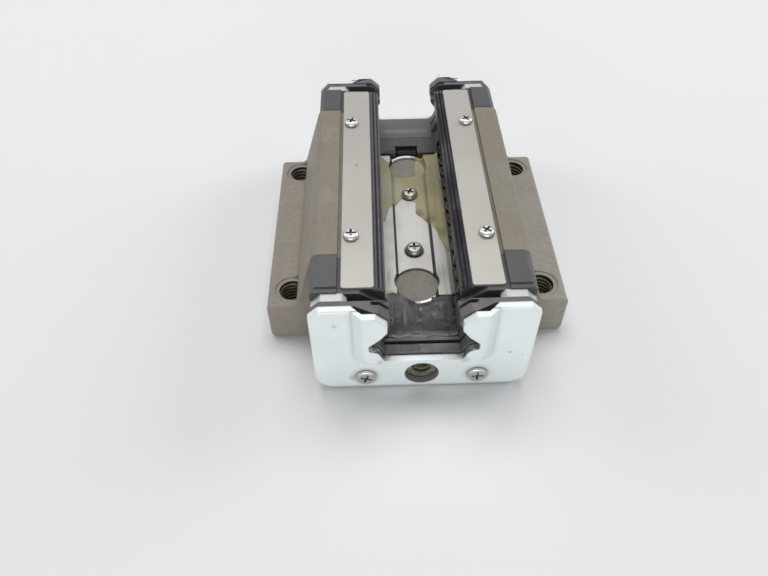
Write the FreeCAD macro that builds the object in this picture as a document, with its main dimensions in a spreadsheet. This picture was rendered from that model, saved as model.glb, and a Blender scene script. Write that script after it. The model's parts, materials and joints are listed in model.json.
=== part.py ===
import FreeCAD, Part
import os
import re
import Sketcher

# Linear guide block: a flanged carriage with four recirculating ball rows, in millimetres.
# X runs across the flange, Y along the rail and Z up from the centre of the mounting face.
# The block stands on its mounting face, so the rail channel opens upwards. Front is the -Y end.

SIZES = {
    # carriage body
    "flange_width": 100.0,
    "body_length": 77.0,
    "flange_height": 15.6,
    "edge_break": 1.0,
    "leg_height": 39.4,
    "leg_wall": 1.8,
    "leg_spread": 6.85,
    "leg_tip_break": 1.3,
    "end_break": 0.4,
    "root_fillet": 2.6,
    "seat_depth": 1.4,
    "seat_span": 10.4,
    "race_depth": 0.5,
    "ridge_relief": 2.4,
    "channel_depth": 23.8,
    # tapped mounting holes
    "bolt_side_inset": 8.0,
    "bolt_end_inset": 7.5,
    "bolt_bore": 8.5,
    "spot_face": 11.4,
    "spot_face_depth": 0.3,
    "spot_face_rise": 2.4,
    # balls and their tracks
    "ball_diameter": 6.35,
    "ball_gap": 0.15,
    "race_clearance": 0.15,
    "track_clearance": 0.225,
    "row_pitch_across": 31.0,
    "row_drop": 8.6,
    "row_pitch_upright": 10.8,
    # return guides
    "guide_rim": 1.0,
    "guide_clearance": 0.1,
    # end caps
    "cap_inset": 0.4,
    "cap_wall": 2.46,
    "cap_lift": 0.6,
    "cap_corner": 7.0,
    "cap_chamfer": 1.6,
    "cap_step": 0.6,
    "cap_relief": 0.4,
    "nose_inset": 5.4,
    "notch_inset": 3.2,
    "notch_gap": 3.7,
    # ball keepers
    "keeper_width": 3.7,
    "keeper_tip": 0.6,
    "keeper_clearance": 0.175,
    "keeper_lift": 0.6,
    "keeper_bevel": 0.7,
    "keeper_bevel_height": 1.4,
    "lip_seat_depth": 2.5,
    # side strips and side seals
    "strip_overhang": 0.5,
    "strip_edge_gap": 1.2,
    "strip_thickness": 0.75,
    "strip_setback": 1.7,
    "strip_corner": 0.8,
    "lip_reach": 4.0,
    "lip_clearance": 0.3,
    "lip_bevel": 0.5,
    "lip_pitch": 1.2,
    "lip_ridge": 0.9,
    "lip_fall": 0.25,
    # screws of the strips and the retainer plate
    "strip_screw_inset": 4.2,
    "strip_screw_along": 60.0,
    "strip_screw_thread": 3.0,
    "strip_screw_head": 5.1,
    "strip_screw_head_height": 1.7,
    "strip_screw_head_round": 1.1,
    "strip_screw_recess": 3.2,
    "strip_screw_slot": 0.7,
    "strip_screw_recess_depth": 1.0,
    "strip_screw_length": 4.5,
    "retainer_screw_along": 29.6,
    "retainer_screw_thread": 3.0,
    "retainer_screw_head": 6.1,
    "retainer_screw_head_height": 2.1,
    "retainer_screw_head_round": 1.4,
    "retainer_screw_recess": 3.5,
    "retainer_screw_slot": 0.8,
    "retainer_screw_recess_depth": 1.1,
    "retainer_screw_length": 4.5,
    "recess_turn": 70.0,
    # retainer plate
    "retainer_sheet": 0.9,
    "trough_width": 11.8,
    "trough_run": 0.9,
    "trough_depth": 1.8,
    "rim_run": 1.35,
    "retainer_clearance": 0.275,
    "retainer_inset": 1.2,
    "tongue_rim": 1.0,
    "window": 15.0,
    "window_inset": 7.7,
    # seal plates, end seals and covers
    "plate_thickness": 3.0,
    "plate_inset": 0.2,
    "plate_drop": 0.2,
    "plate_cut_width": 44.8,
    "plate_cut_floor": 14.5,
    "plate_cut_break": 1.5,
    "seal_thickness": 2.0,
    "seal_inset": 0.3,
    "seal_overlap": 0.7,
    "seal_drop": 4.6,
    "seal_foot": 0.9,
    "seal_rim": 0.3,
    "lip_groove": 1.2,
    "lip_groove_width": 1.3,
    "cover_sheet": 2.3,
    "cover_rise": 3.2,
    "cover_overhang": 0.5,
    "cover_drop": 0.9,
    "cover_lift": 0.2,
    "cover_corner": 7.0,
    "cover_chamfer": 3.1,
    "emboss_width": 42.8,
    "emboss_floor": 13.9,
    "emboss_angle": 45.0,
    "emboss_corner": 6.0,
    "emboss_round": 1.5,
    "cover_edge": 0.8,
    # rail opening of the covers
    "mouth_flare_width": 28.8,
    "mouth_flare_drop": 3.3,
    "mouth_neck_width": 21.8,
    "mouth_neck_run": 2.8,
    "mouth_throat_width": 26.2,
    "mouth_throat_drop": 3.2,
    "mouth_ridge_width": 32.8,
    "mouth_ridge_drop": 3.2,
    "mouth_ridge_run": 2.4,
    "mouth_ridge_round": 0.8,
    "mouth_lobe_width": 27.0,
    "mouth_lobe_drop": 1.0,
    "mouth_lobe_round": 2.0,
    "mouth_floor_width": 23.8,
    "mouth_floor_drop": 4.0,
    "mouth_floor_round": 1.6,
    # cover screws and grease ports
    "cover_screw_across": 35.2,
    "cover_screw_height": 6.6,
    "cover_screw_thread": 3.5,
    "cover_screw_head": 6.6,
    "cover_screw_head_height": 1.2,
    "cover_screw_head_round": 0.7,
    "cover_screw_recess": 3.8,
    "cover_screw_slot": 0.7,
    "cover_screw_recess_depth": 0.8,
    "cover_screw_engagement": 9.0,
    "screw_clearance": 0.15,
    "screw_play": 0.05,
    "port_height": 7.35,
    "port_hole": 10.7,
    "port_collar_gap": 0.15,
    "port_bush": 9.2,
    "port_thread": 6.0,
    "port_length": 8.0,
    "port_passage": 2.5,
}

# sizes that follow from the ones above; neighbouring balls in a turn of three stand one radius apart
TURN_BALLS = 3
TURN_STEP = 180 / TURN_BALLS
HALF_BODY = "(body_length / 2)"
TURN_RADIUS = "(ball_diameter + ball_gap)"
BALL_PITCH = f"({TURN_RADIUS} * pi / {TURN_BALLS})"
ROW_BALLS = f"ceil(body_length / {BALL_PITCH})"
RACE = "(ball_diameter / 2 + race_clearance)"
TRACK = "(ball_diameter / 2 + track_clearance)"
COVER_HOLE = "(cover_screw_thread / 2 + screw_clearance)"
STRIP_HOLE = "(strip_screw_thread / 2 + screw_clearance)"
RETAINER_HOLE = "(retainer_screw_thread / 2 + screw_clearance)"

# distances from the middle plane, outwards
LOAD_X = "(row_pitch_across / 2)"
TURN_X = f"({LOAD_X} + {TURN_RADIUS})"
RETURN_X = f"({LOAD_X} + 2 * {TURN_RADIUS})"
LEG_FACE = f"({LOAD_X} - race_depth)"
RIDGE_FACE = f"({LEG_FACE} + ridge_relief)"
KEEPER_FACE = f"({LEG_FACE} - keeper_width)"
LIP_TIP = f"({LEG_FACE} - lip_reach)"
STRIP_INNER = f"({LEG_FACE} - strip_overhang)"
SEAT_WALL = f"({LEG_FACE} + seat_span)"
STRIP_OUTER = f"({SEAT_WALL} - strip_edge_gap)"
STRIP_SCREW_X = f"({SEAT_WALL} - strip_screw_inset)"
LEG_TIP = f"({RETURN_X} + {TRACK} + leg_wall)"
LEG_ROOT = f"({LEG_TIP} + leg_spread)"
CAP_SIDE = f"({LEG_TIP} - cap_inset)"
PLATE_SIDE = f"({CAP_SIDE} - plate_inset)"
COVER_SIDE = f"({CAP_SIDE} + cover_overhang)"
RETAINER_SIDE = f"({LOAD_X} - ball_diameter / 2 - retainer_clearance)"
SHOULDER = f"({RETAINER_SIDE} - rim_run)"
BOLT_X = "(flange_width / 2 - bolt_side_inset)"

# distances from the middle towards an end
TURN_Y = f"({ROW_BALLS} * {BALL_PITCH} / 2)"
BOLT_Y = f"({HALF_BODY} - bolt_end_inset)"
WINDOW_Y = f"({HALF_BODY} - window_inset)"
RETAINER_END = f"({HALF_BODY} - retainer_inset)"
CAP_FACE = f"({TURN_Y} + {TURN_RADIUS} + {TRACK} + cap_wall)"
STRIP_END = f"({CAP_FACE} - strip_setback)"
PLATE_FACE = f"({CAP_FACE} + plate_thickness)"
SEAL_FACE = f"({PLATE_FACE} + seal_thickness)"
COVER_FACE = f"({SEAL_FACE} + cover_sheet)"

# heights above the mounting face, most of them set by the tops of the legs
UPPER_ROW = "(leg_height - row_drop)"
LOWER_ROW = f"({UPPER_ROW} - row_pitch_upright)"
GUIDE_LOW = f"({LOWER_ROW} - {TRACK} - guide_rim)"
GUIDE_HIGH = f"({UPPER_ROW} + {TRACK} + guide_rim)"
SEAT = "(leg_height - seat_depth)"
LIP_SEAT = "(leg_height - lip_seat_depth)"
STRIP_TOP = f"({SEAT} + strip_thickness)"
CHANNEL_FLOOR = "(leg_height - channel_depth)"
TROUGH_TOP = f"({CHANNEL_FLOOR} + retainer_sheet)"
COVER_TOP = "(leg_height - cover_drop)"
PLATE_TOP = f"({COVER_TOP} - plate_drop)"
NECK_HIGH = f"({COVER_TOP} - mouth_flare_drop)"
NECK_LOW = f"({NECK_HIGH} - mouth_neck_run)"
THROAT = f"({NECK_LOW} - mouth_throat_drop)"
RIDGE_HIGH = f"({THROAT} - mouth_ridge_drop)"
RIDGE_LOW = f"({RIDGE_HIGH} - mouth_ridge_run)"
LOBE = f"({RIDGE_LOW} - mouth_lobe_drop)"
MOUTH_FLOOR = f"({LOBE} - mouth_floor_drop)"
NOSE_LOW = f"({NECK_LOW} + cap_relief)"
CLEAR_ABOVE = "(leg_height + flange_height)"

ROWS = {"lower": LOWER_ROW, "upper": UPPER_ROW}
SIDES = {"left": "-1", "right": "1"}
ENDS = {"front": 0, "rear": 180}
SIZE_WORD = re.compile(r"[a-z]\w*")
TOUCH = 0.01

doc = FreeCAD.newDocument("linear_guide_block")
sheet = doc.addObject("Spreadsheet::Sheet", "Sizes")
for row, (name, value) in enumerate(SIZES.items(), start=1):
    sheet.set(f"A{row}", name)
    sheet.set(f"B{row}", str(value))
    sheet.setAlias(f"B{row}", name)
doc.recompute()


def bound(expression):
    """The expression with each size written as a reference to its cell."""
    return SIZE_WORD.sub(lambda word: f"Sizes.{word[0]}" if word[0] in SIZES else word[0], expression)


def value(expression):
    """What an expression comes to at the present sizes."""
    return float(sheet.evalExpression(bound(expression)))


def new_body(name):
    body = doc.addObject("PartDesign::Body", name)
    body.Label = name
    body.AllowCompound = True
    return body


def origin_feature(body, role):
    return next(feature for feature in body.Origin.OriginFeatures if feature.Role == role)


def sketch_on(body, plane, away="0", across="0"):
    """A sketch parallel to an origin plane, moved along its normal and its own first axis."""
    sketch = body.newObject("Sketcher::SketchObject", f"{body.Name}_sketch")
    sketch.AttachmentSupport = [(origin_feature(body, plane), "")]
    sketch.MapMode = "FlatFace"
    sketch.setExpression("AttachmentOffset.Base.z", bound(away))
    sketch.setExpression("AttachmentOffset.Base.x", bound(across))
    return sketch


def hold_point(sketch, geometry, position, x, y):
    """Fix one point of a sketch at a pair of expressions."""
    for kind, expression in (("DistanceX", x), ("DistanceY", y)):
        index = sketch.addConstraint(Sketcher.Constraint(kind, -1, 1, geometry, position, 1.0))
        sketch.setExpression(f"Constraints[{index}]", bound(expression))


def polygon(sketch, corners):
    first = sketch.GeometryCount
    count = len(corners)
    for index in range(count):
        start = FreeCAD.Vector(index, index * index, 0)
        following = (index + 1) % count
        end = FreeCAD.Vector(following, following * following, 0)
        sketch.addGeometry(Part.LineSegment(start, end))
    for index in range(count):
        joined = first + (index + 1) % count
        sketch.addConstraint(Sketcher.Constraint("Coincident", first + index, 2, joined, 1))
    for index, (x, y) in enumerate(corners):
        hold_point(sketch, first + index, 1, x, y)
    return sketch


def rectangle(sketch, left, right, low, high):
    return polygon(sketch, [(left, low), (right, low), (right, high), (left, high)])


def circle(sketch, x, y, radius):
    index = sketch.addGeometry(Part.Circle(FreeCAD.Vector(0, 0, 0), FreeCAD.Vector(0, 0, 1), 1.0))
    hold_point(sketch, index, 3, x, y)
    radius_index = sketch.addConstraint(Sketcher.Constraint("Radius", index, 1.0))
    sketch.setExpression(f"Constraints[{radius_index}]", bound(radius))
    return sketch


def mirrored(half):
    """A whole outline from its +X half, which runs from the middle outwards and back."""
    other = [(f"-({x})", z) for x, z in reversed(half) if x != "0"]
    return half + other


def side_normal(start, end):
    """The unit vector to the left of a side of an outline, as two expressions."""
    run = f"({end[0]} - ({start[0]}))"
    rise = f"({end[1]} - ({start[1]}))"
    length = f"hypot({run}; {rise})"
    return f"(-{rise} / {length})", f"({run} / {length})"


def drawn_in(corners, inset):
    """An anticlockwise outline with every side moved inwards and its corners mitred."""
    moved = []
    for index, corner in enumerate(corners):
        before = side_normal(corners[index - 1], corner)
        after = side_normal(corner, corners[(index + 1) % len(corners)])
        share = f"{inset} / (1 + {before[0]} * {after[0]} + {before[1]} * {after[1]})"
        x, z = (f"{corner[axis]} + {share} * ({before[axis]} + {after[axis]})" for axis in (0, 1))
        moved.append((x, z))
    return moved


def extrusion(kind, sketch, length=None, symmetric=False, reverse=False, taper=None):
    body = sketch.getParent()
    feature = body.newObject(f"PartDesign::{kind}", f"{body.Name}_{kind.lower()}")
    feature.Profile = sketch
    feature.Midplane = symmetric
    feature.Reversed = reverse
    if length is None:
        feature.Type = "ThroughAll"
    else:
        feature.setExpression("Length", bound(length))
    if taper is not None:
        feature.setExpression("TaperAngle", bound(taper))
    return feature


def pad(sketch, length, **options):
    return extrusion("Pad", sketch, length, **options)


def pocket(sketch, length=None, **options):
    return extrusion("Pocket", sketch, length, **options)


def half_turn(kind, sketch):
    """Revolve a sketch, or cut with it, half a turn about its own upright axis."""
    body = sketch.getParent()
    feature = body.newObject(f"PartDesign::{kind}", f"{body.Name}_{kind.lower()}")
    feature.Profile = sketch
    feature.ReferenceAxis = (sketch, ["V_Axis"])
    feature.Angle = 180
    return feature


def dress_edges(kind, property_name, body, size, chosen):
    """Round or bevel the edges of a body's tip that a test on the edge picks."""
    doc.recompute()
    tip = body.Tip
    names = [f"Edge{number}" for number, edge in enumerate(tip.Shape.Edges, start=1) if chosen(edge)]
    dressed = body.newObject(f"PartDesign::{kind}", f"{body.Name}_{kind.lower()}")
    dressed.Base = (tip, names)
    dressed.setExpression(property_name, bound(size))
    return dressed


def round_edges(body, radius, chosen):
    return dress_edges("Fillet", "Radius", body, radius, chosen)


def bevel_edges(body, size, chosen):
    return dress_edges("Chamfer", "Size", body, size, chosen)


def corner_edge(x, z):
    """A test for the edges that run along Y at a distance x from the middle and a height z."""
    def runs_there(edge):
        first, last = edge.Vertexes[0], edge.Vertexes[-1]
        placed = all(abs(abs(v.X) - value(x)) < TOUCH and abs(v.Z - value(z)) < TOUCH for v in (first, last))
        return placed and abs(first.X - last.X) < TOUCH
    return runs_there


def front_edge(body):
    """A test for the edges in the foremost plane of a body that stands at the front."""
    foremost = min(vertex.Y for vertex in body.Tip.Shape.Vertexes)
    return lambda edge: all(abs(vertex.Y - foremost) < TOUCH for vertex in edge.Vertexes)


def turn_end(body, angle):
    """Place a piece of the front end at the end that an angle about Z gives."""
    body.Placement = FreeCAD.Placement(FreeCAD.Vector(), FreeCAD.Rotation(FreeCAD.Vector(0, 0, 1), angle))


def place(body, x, y, z, angle=0):
    """Stand a body at a point given as expressions, turned about Z."""
    turn_end(body, angle)
    for axis, expression in (("x", x), ("y", y), ("z", z)):
        body.setExpression(f"Placement.Base.{axis}", bound(expression))


def four_corners(x, y):
    """The corners of a rectangle about the middle, from expressions for the one at +X, +Y."""
    return [(f"{across} * {x}", f"{along} * {y}") for across in SIDES.values() for along in SIDES.values()]


def carriage_body():
    body = new_body("block_body")
    half = [
        ("flange_width / 2 - edge_break", "0"),
        ("flange_width / 2", "edge_break"),
        ("flange_width / 2", "flange_height - edge_break"),
        ("flange_width / 2 - edge_break", "flange_height"),
        (LEG_ROOT, "flange_height"),
        (LEG_TIP, "leg_height - leg_tip_break"),
        (f"{LEG_TIP} - leg_tip_break", "leg_height"),
        (SEAT_WALL, "leg_height"),
        (SEAT_WALL, SEAT),
        (LEG_FACE, SEAT),
        (LEG_FACE, UPPER_ROW),
        (RIDGE_FACE, UPPER_ROW),
        (RIDGE_FACE, LOWER_ROW),
        (LEG_FACE, LOWER_ROW),
        (LEG_FACE, CHANNEL_FLOOR),
    ]
    pad(polygon(sketch_on(body, "XZ_Plane"), mirrored(half)), "body_length", symmetric=True)
    round_edges(body, "root_fillet", corner_edge(LEG_ROOT, "flange_height"))
    bevel_edges(body, "end_break", outer_end_edge)

    tracks = sketch_on(body, "XZ_Plane")
    for side in SIDES.values():
        for height in ROWS.values():
            circle(tracks, f"{side} * {LOAD_X}", height, RACE)
            circle(tracks, f"{side} * {RETURN_X}", height, TRACK)
    pocket(tracks, symmetric=True)

    bolts = sketch_on(body, "XY_Plane")
    spots = sketch_on(body, "XY_Plane", "flange_height - spot_face_depth")
    for x, y in four_corners(BOLT_X, BOLT_Y):
        circle(bolts, x, y, "bolt_bore / 2")
        circle(spots, x, y, "spot_face / 2")
    pocket(bolts, "flange_height", reverse=True)
    pocket(spots, "spot_face_depth + spot_face_rise", reverse=True)

    strip_holes = sketch_on(body, "XY_Plane", SEAT)
    for x, y in four_corners(STRIP_SCREW_X, "strip_screw_along / 2"):
        circle(strip_holes, x, y, "strip_screw_thread / 2 + screw_play")
    pocket(strip_holes, "strip_screw_length - strip_thickness + screw_clearance")

    floor_holes = sketch_on(body, "XY_Plane", CHANNEL_FLOOR)
    for along in SIDES.values():
        radius = "retainer_screw_thread / 2 + screw_play"
        circle(floor_holes, "0", f"{along} * retainer_screw_along / 2", radius)
    pocket(floor_holes, "retainer_screw_length - retainer_sheet + screw_clearance")

    for end, at_rear in ((HALF_BODY, False), (f"-{HALF_BODY}", True)):
        end_holes = sketch_on(body, "XZ_Plane", end)
        for side in SIDES.values():
            centre = (f"{side} * cover_screw_across / 2", "cover_screw_height")
            circle(end_holes, *centre, "cover_screw_thread / 2 + screw_play")
        pocket(end_holes, "cover_screw_engagement + screw_clearance", reverse=at_rear)
    return body


def outer_end_edge(edge):
    """True for the edges that bound an end face outside the seats of the strips."""
    at_end = all(abs(abs(vertex.Y) - value(HALF_BODY)) < TOUCH for vertex in edge.Vertexes)
    from_middle = sorted(abs(vertex.X) for vertex in edge.Vertexes)
    seat = value(SEAT_WALL)
    return at_end and from_middle[0] > seat - TOUCH and from_middle[-1] > seat + TOUCH


def turn_passages(body, turn_x):
    """Cut the two ball turns of one leg into a cap or a guide standing at the front end."""
    lead = sketch_on(body, "XZ_Plane", HALF_BODY, turn_x)
    bends = sketch_on(body, "XZ_Plane", TURN_Y, turn_x)
    for height in ROWS.values():
        circle(lead, f"-{TURN_RADIUS}", height, TRACK)
        circle(lead, TURN_RADIUS, height, TRACK)
        circle(bends, f"-{TURN_RADIUS}", height, TRACK)
    pocket(lead, f"{TURN_Y} - {HALF_BODY}", reverse=True)
    half_turn("Groove", bends)


def channel_wall():
    """The +X wall of the rail channel in a cap, from its floor up to the nose."""
    return [
        ("mouth_floor_width / 2 + cap_relief", MOUTH_FLOOR),
        ("mouth_ridge_width / 2 + cap_relief", RIDGE_LOW),
        ("mouth_ridge_width / 2 + cap_relief", f"{RIDGE_HIGH} + cap_relief"),
        (KEEPER_FACE, NOSE_LOW),
    ]


def end_cap(name, angle):
    body = new_body(name)
    half = [
        (CAP_SIDE, "cap_lift"),
        (CAP_SIDE, "leg_height - cap_chamfer"),
        (f"{CAP_SIDE} - cap_chamfer", "leg_height"),
        (SEAT_WALL, "leg_height"),
        (SEAT_WALL, SEAT),
        (LEG_FACE, SEAT),
        (LEG_FACE, LIP_SEAT),
        (f"{KEEPER_FACE} + keeper_tip", LIP_SEAT),
        (KEEPER_FACE, f"{LIP_SEAT} - keeper_tip"),
    ] + list(reversed(channel_wall()))
    pad(polygon(sketch_on(body, "XZ_Plane", HALF_BODY), mirrored(half)), f"{CAP_FACE} - {HALF_BODY}")
    round_edges(body, "cap_corner", corner_edge(CAP_SIDE, "cap_lift"))

    step = sketch_on(body, "XZ_Plane", STRIP_END)
    for side in SIDES.values():
        polygon(step, [
            (f"{side} * {KEEPER_FACE}", NOSE_LOW),
            (f"{side} * ({SEAT_WALL} - nose_inset)", "leg_height - cap_step"),
            (f"{side} * flange_width", "leg_height - cap_step"),
            (f"{side} * flange_width", CLEAR_ABOVE),
            (f"{side} * {KEEPER_FACE}", CLEAR_ABOVE),
        ])
    pocket(step, f"{CAP_FACE} - {STRIP_END}", reverse=True)

    for side in SIDES.values():
        turn_passages(body, f"{side} * {TURN_X}")
        well = sketch_on(body, "XZ_Plane", HALF_BODY, f"{side} * {TURN_X}")
        rectangle(well, f"-{TURN_RADIUS}", TURN_RADIUS, GUIDE_LOW, GUIDE_HIGH)
        pocket(well, f"{TURN_Y} - {HALF_BODY}", reverse=True)
        round_well = sketch_on(body, "XZ_Plane", TURN_Y, f"{side} * {TURN_X}")
        rectangle(round_well, f"-{TURN_RADIUS}", "0", GUIDE_LOW, GUIDE_HIGH)
        half_turn("Groove", round_well)

    cut_fixings(body, COVER_HOLE, "port_passage / 2")
    bush = sketch_on(body, "XZ_Plane", CAP_FACE)
    circle(bush, "0", "port_height", "port_bush / 2")
    pocket(bush, "port_length")
    notch = sketch_on(body, "XZ_Plane", HALF_BODY)
    notch_side = "(window / 2 - notch_inset)"
    rectangle(notch, f"-{notch_side}", notch_side, f"{CHANNEL_FLOOR} - cap_relief", CLEAR_ABOVE)
    pocket(notch, "window / 2 + tongue_rim - window_inset + notch_gap", reverse=True)
    turn_end(body, angle)
    return body


def return_guide(name, side, angle):
    """The half-round piece with two ball grooves that stands in a cap, on the axis of its turns."""
    body = new_body(name)
    column = sketch_on(body, "XZ_Plane", TURN_Y)
    reach = f"({TURN_RADIUS} - guide_clearance)"
    low = f"({GUIDE_LOW} + guide_clearance)"
    high = f"({GUIDE_HIGH} - guide_clearance)"
    rectangle(column, f"-{reach}", "0", low, high)
    half_turn("Revolution", column)
    foot = sketch_on(body, "XZ_Plane", HALF_BODY)
    rectangle(foot, f"-{reach}", reach, low, high)
    pad(foot, f"{TURN_Y} - {HALF_BODY}")
    turn_passages(body, "0")
    channel = sketch_on(body, "XZ_Plane", "0", f"-({side}) * {TURN_X}")
    half = [("0", MOUTH_FLOOR)] + channel_wall() + [("0", NOSE_LOW)]
    polygon(channel, [(f"{side} * ({x})", z) for x, z in half])
    pocket(channel, reverse=True)
    place(body, f"{side} * {TURN_X} * cos({angle})", "0", "0", angle)
    return body


def ball_row(name, x, z):
    body = new_body(name)
    ball = body.newObject("PartDesign::AdditiveSphere", f"{name}_ball")
    ball.setExpression("Radius", bound("ball_diameter / 2"))
    ball.setExpression("Placement.Base.y", bound(f"-({ROW_BALLS} - 1) * {BALL_PITCH} / 2"))
    doc.recompute()
    row = body.newObject("PartDesign::LinearPattern", f"{name}_pattern")
    row.Originals = [ball]
    row.Direction = (origin_feature(body, "Y_Axis"), [""])
    row.setExpression("Length", bound(f"({ROW_BALLS} - 1) * {BALL_PITCH}"))
    row.setExpression("Occurrences", bound(ROW_BALLS))
    body.Tip = row
    place(body, x, "0", z)
    return body


def ball_turn(name, x, z, angle):
    body = new_body(name)
    ball = body.newObject("PartDesign::AdditiveSphere", f"{name}_ball")
    ball.setExpression("Radius", bound("ball_diameter / 2"))
    ball.setExpression("Placement.Base.x", bound(f"-{TURN_RADIUS} * cos({TURN_STEP / 2})"))
    ball.setExpression("Placement.Base.y", bound(f"-{TURN_RADIUS} * sin({TURN_STEP / 2})"))
    doc.recompute()
    bend = body.newObject("PartDesign::PolarPattern", f"{name}_pattern")
    bend.Originals = [ball]
    bend.Axis = (origin_feature(body, "Z_Axis"), [""])
    bend.Angle = 180 - TURN_STEP
    bend.Occurrences = TURN_BALLS
    body.Tip = bend
    place(body, x, f"-{TURN_Y} * cos({angle})", z, angle)
    return body


def ball_keeper(name, angle):
    """The black bar on a leg's inner face that holds the upper row when there is no rail."""
    body = new_body(name)
    low = f"{UPPER_ROW} + keeper_lift"
    profile = [
        (f"{KEEPER_FACE} + keeper_bevel", low),
        (LEG_FACE, low),
        (LEG_FACE, LIP_SEAT),
        (f"{KEEPER_FACE} + keeper_tip", LIP_SEAT),
        (KEEPER_FACE, f"{LIP_SEAT} - keeper_tip"),
        (KEEPER_FACE, f"{low} + keeper_bevel_height"),
    ]
    pad(polygon(sketch_on(body, "XZ_Plane"), profile), "body_length", symmetric=True)
    groove = circle(sketch_on(body, "XZ_Plane"), LOAD_X, UPPER_ROW, "ball_diameter / 2 + keeper_clearance")
    pocket(groove, symmetric=True)
    turn_end(body, angle)
    return body


def side_strip(name, angle):
    body = new_body(name)
    strip = sketch_on(body, "XZ_Plane")
    rectangle(strip, STRIP_INNER, STRIP_OUTER, SEAT, STRIP_TOP)
    pad(strip, f"2 * {STRIP_END}", symmetric=True)
    round_edges(body, "strip_corner", lambda edge: abs(edge.Length - value("strip_thickness")) < TOUCH)
    holes = sketch_on(body, "XY_Plane", SEAT)
    for along in SIDES.values():
        circle(holes, STRIP_SCREW_X, f"{along} * strip_screw_along / 2", STRIP_HOLE)
    pocket(holes, reverse=True)
    turn_end(body, angle)
    return body


def side_seal(name, angle):
    """The rubber along a strip's inner edge, with two ridges and a lip towards the rail."""
    body = new_body(name)
    outer_crest = f"({STRIP_INNER} - lip_clearance - lip_bevel)"
    profile = [
        (f"{LIP_TIP} + lip_bevel", LIP_SEAT),
        (LEG_FACE, LIP_SEAT),
        (LEG_FACE, SEAT),
        (f"{STRIP_INNER} - lip_clearance", SEAT),
        (outer_crest, STRIP_TOP),
        (f"{outer_crest} - 0.5 * lip_pitch", f"{STRIP_TOP} - lip_ridge"),
        (f"{outer_crest} - lip_pitch", f"{STRIP_TOP} - lip_fall"),
        (f"{outer_crest} - 1.5 * lip_pitch", f"{STRIP_TOP} - lip_fall - lip_ridge"),
        (LIP_TIP, f"{STRIP_TOP} - 2 * lip_fall"),
    ]
    pad(polygon(sketch_on(body, "XZ_Plane"), profile), f"2 * {STRIP_END}", symmetric=True)
    turn_end(body, angle)
    return body


def retainer_plate():
    """The bent plate on the channel's floor: a trough with shoulders, turned-up rims and two windows."""
    body = new_body("retainer_plate")
    below = f"({CHANNEL_FLOOR} + trough_depth)"
    shoulder = f"({TROUGH_TOP} + trough_depth)"
    trough_mitre = "(retainer_sheet * tan(atan(trough_depth / trough_run) / 2))"
    rim_mitre = "(retainer_sheet * tan(45 / 2))"
    half = [
        (f"trough_width / 2 + {trough_mitre}", CHANNEL_FLOOR),
        (f"trough_width / 2 + trough_run + {trough_mitre}", below),
        (f"{SHOULDER} + {rim_mitre}", below),
        (RETAINER_SIDE, f"{below} + rim_run - {rim_mitre}"),
        (RETAINER_SIDE, f"{shoulder} + rim_run"),
        (SHOULDER, shoulder),
        ("trough_width / 2 + trough_run", shoulder),
        ("trough_width / 2", TROUGH_TOP),
    ]
    tongues = sketch_on(body, "XY_Plane", CHANNEL_FLOOR)
    for along in SIDES.values():
        circle(tongues, "0", f"{along} * {WINDOW_Y}", "window / 2 + tongue_rim")
    pad(tongues, "retainer_sheet")
    trims = sketch_on(body, "XY_Plane", CHANNEL_FLOOR)
    for side in SIDES.values():
        rectangle(trims, f"{side} * trough_width / 2", f"{side} * window", "-body_length", "body_length")
    pocket(trims, reverse=True)
    pad(polygon(sketch_on(body, "XZ_Plane"), mirrored(half)), f"2 * {RETAINER_END}", symmetric=True)
    openings = sketch_on(body, "XY_Plane", CHANNEL_FLOOR)
    for along in SIDES.values():
        circle(openings, "0", f"{along} * {WINDOW_Y}", "window / 2")
        circle(openings, "0", f"{along} * retainer_screw_along / 2", RETAINER_HOLE)
    pocket(openings, reverse=True)
    return body


def cross_recess(sketch, x, y, kind, turn):
    """The cross of a screw head, as one outline about a centre, turned by an angle."""
    arm = f"{kind}_recess / 2"
    web = f"{kind}_slot / 2"
    corners = []
    for quarter in range(4):
        angle = f"({turn} + 90 * {quarter})"
        for out, over in ((arm, f"-{web}"), (arm, web), (web, web)):
            corners.append((f"{x} + cos({angle}) * {out} - sin({angle}) * ({over})",
                            f"{y} + sin({angle}) * {out} + cos({angle}) * ({over})"))
    polygon(sketch, corners)


def screw_group(name, kind, plane, seat, centres, length):
    """Pan-head screws: heads on a seat, shanks going the other way, each cross turned further round."""
    body = new_body(name)
    heads = sketch_on(body, plane, seat)
    shanks = sketch_on(body, plane, seat)
    recesses = sketch_on(body, plane, f"{seat} + {kind}_head_height")
    for index, (x, y) in enumerate(centres):
        circle(heads, x, y, f"{kind}_head / 2")
        circle(shanks, x, y, f"{kind}_thread / 2")
        cross_recess(recesses, x, y, kind, f"{index} * recess_turn")
    pad(heads, f"{kind}_head_height")
    doc.recompute()
    outward = FreeCAD.Vector(0, 0, 1) if plane == "XY_Plane" else FreeCAD.Vector(0, -1, 0)
    top = value(f"{seat} + {kind}_head_height")
    round_edges(body, f"{kind}_head_round", lambda edge: all(
        abs(vertex.Point.dot(outward) - top) < TOUCH for vertex in edge.Vertexes))
    pad(shanks, length, reverse=True)
    pocket(recesses, f"{kind}_recess_depth")
    return body


def plate_side(side, top):
    """The +X half of an end plate's outline, with its upper corner cut off."""
    return [(side, "cover_lift"), (side, f"{top} - cover_chamfer"), (f"{side} - cover_chamfer", top)]


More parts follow.
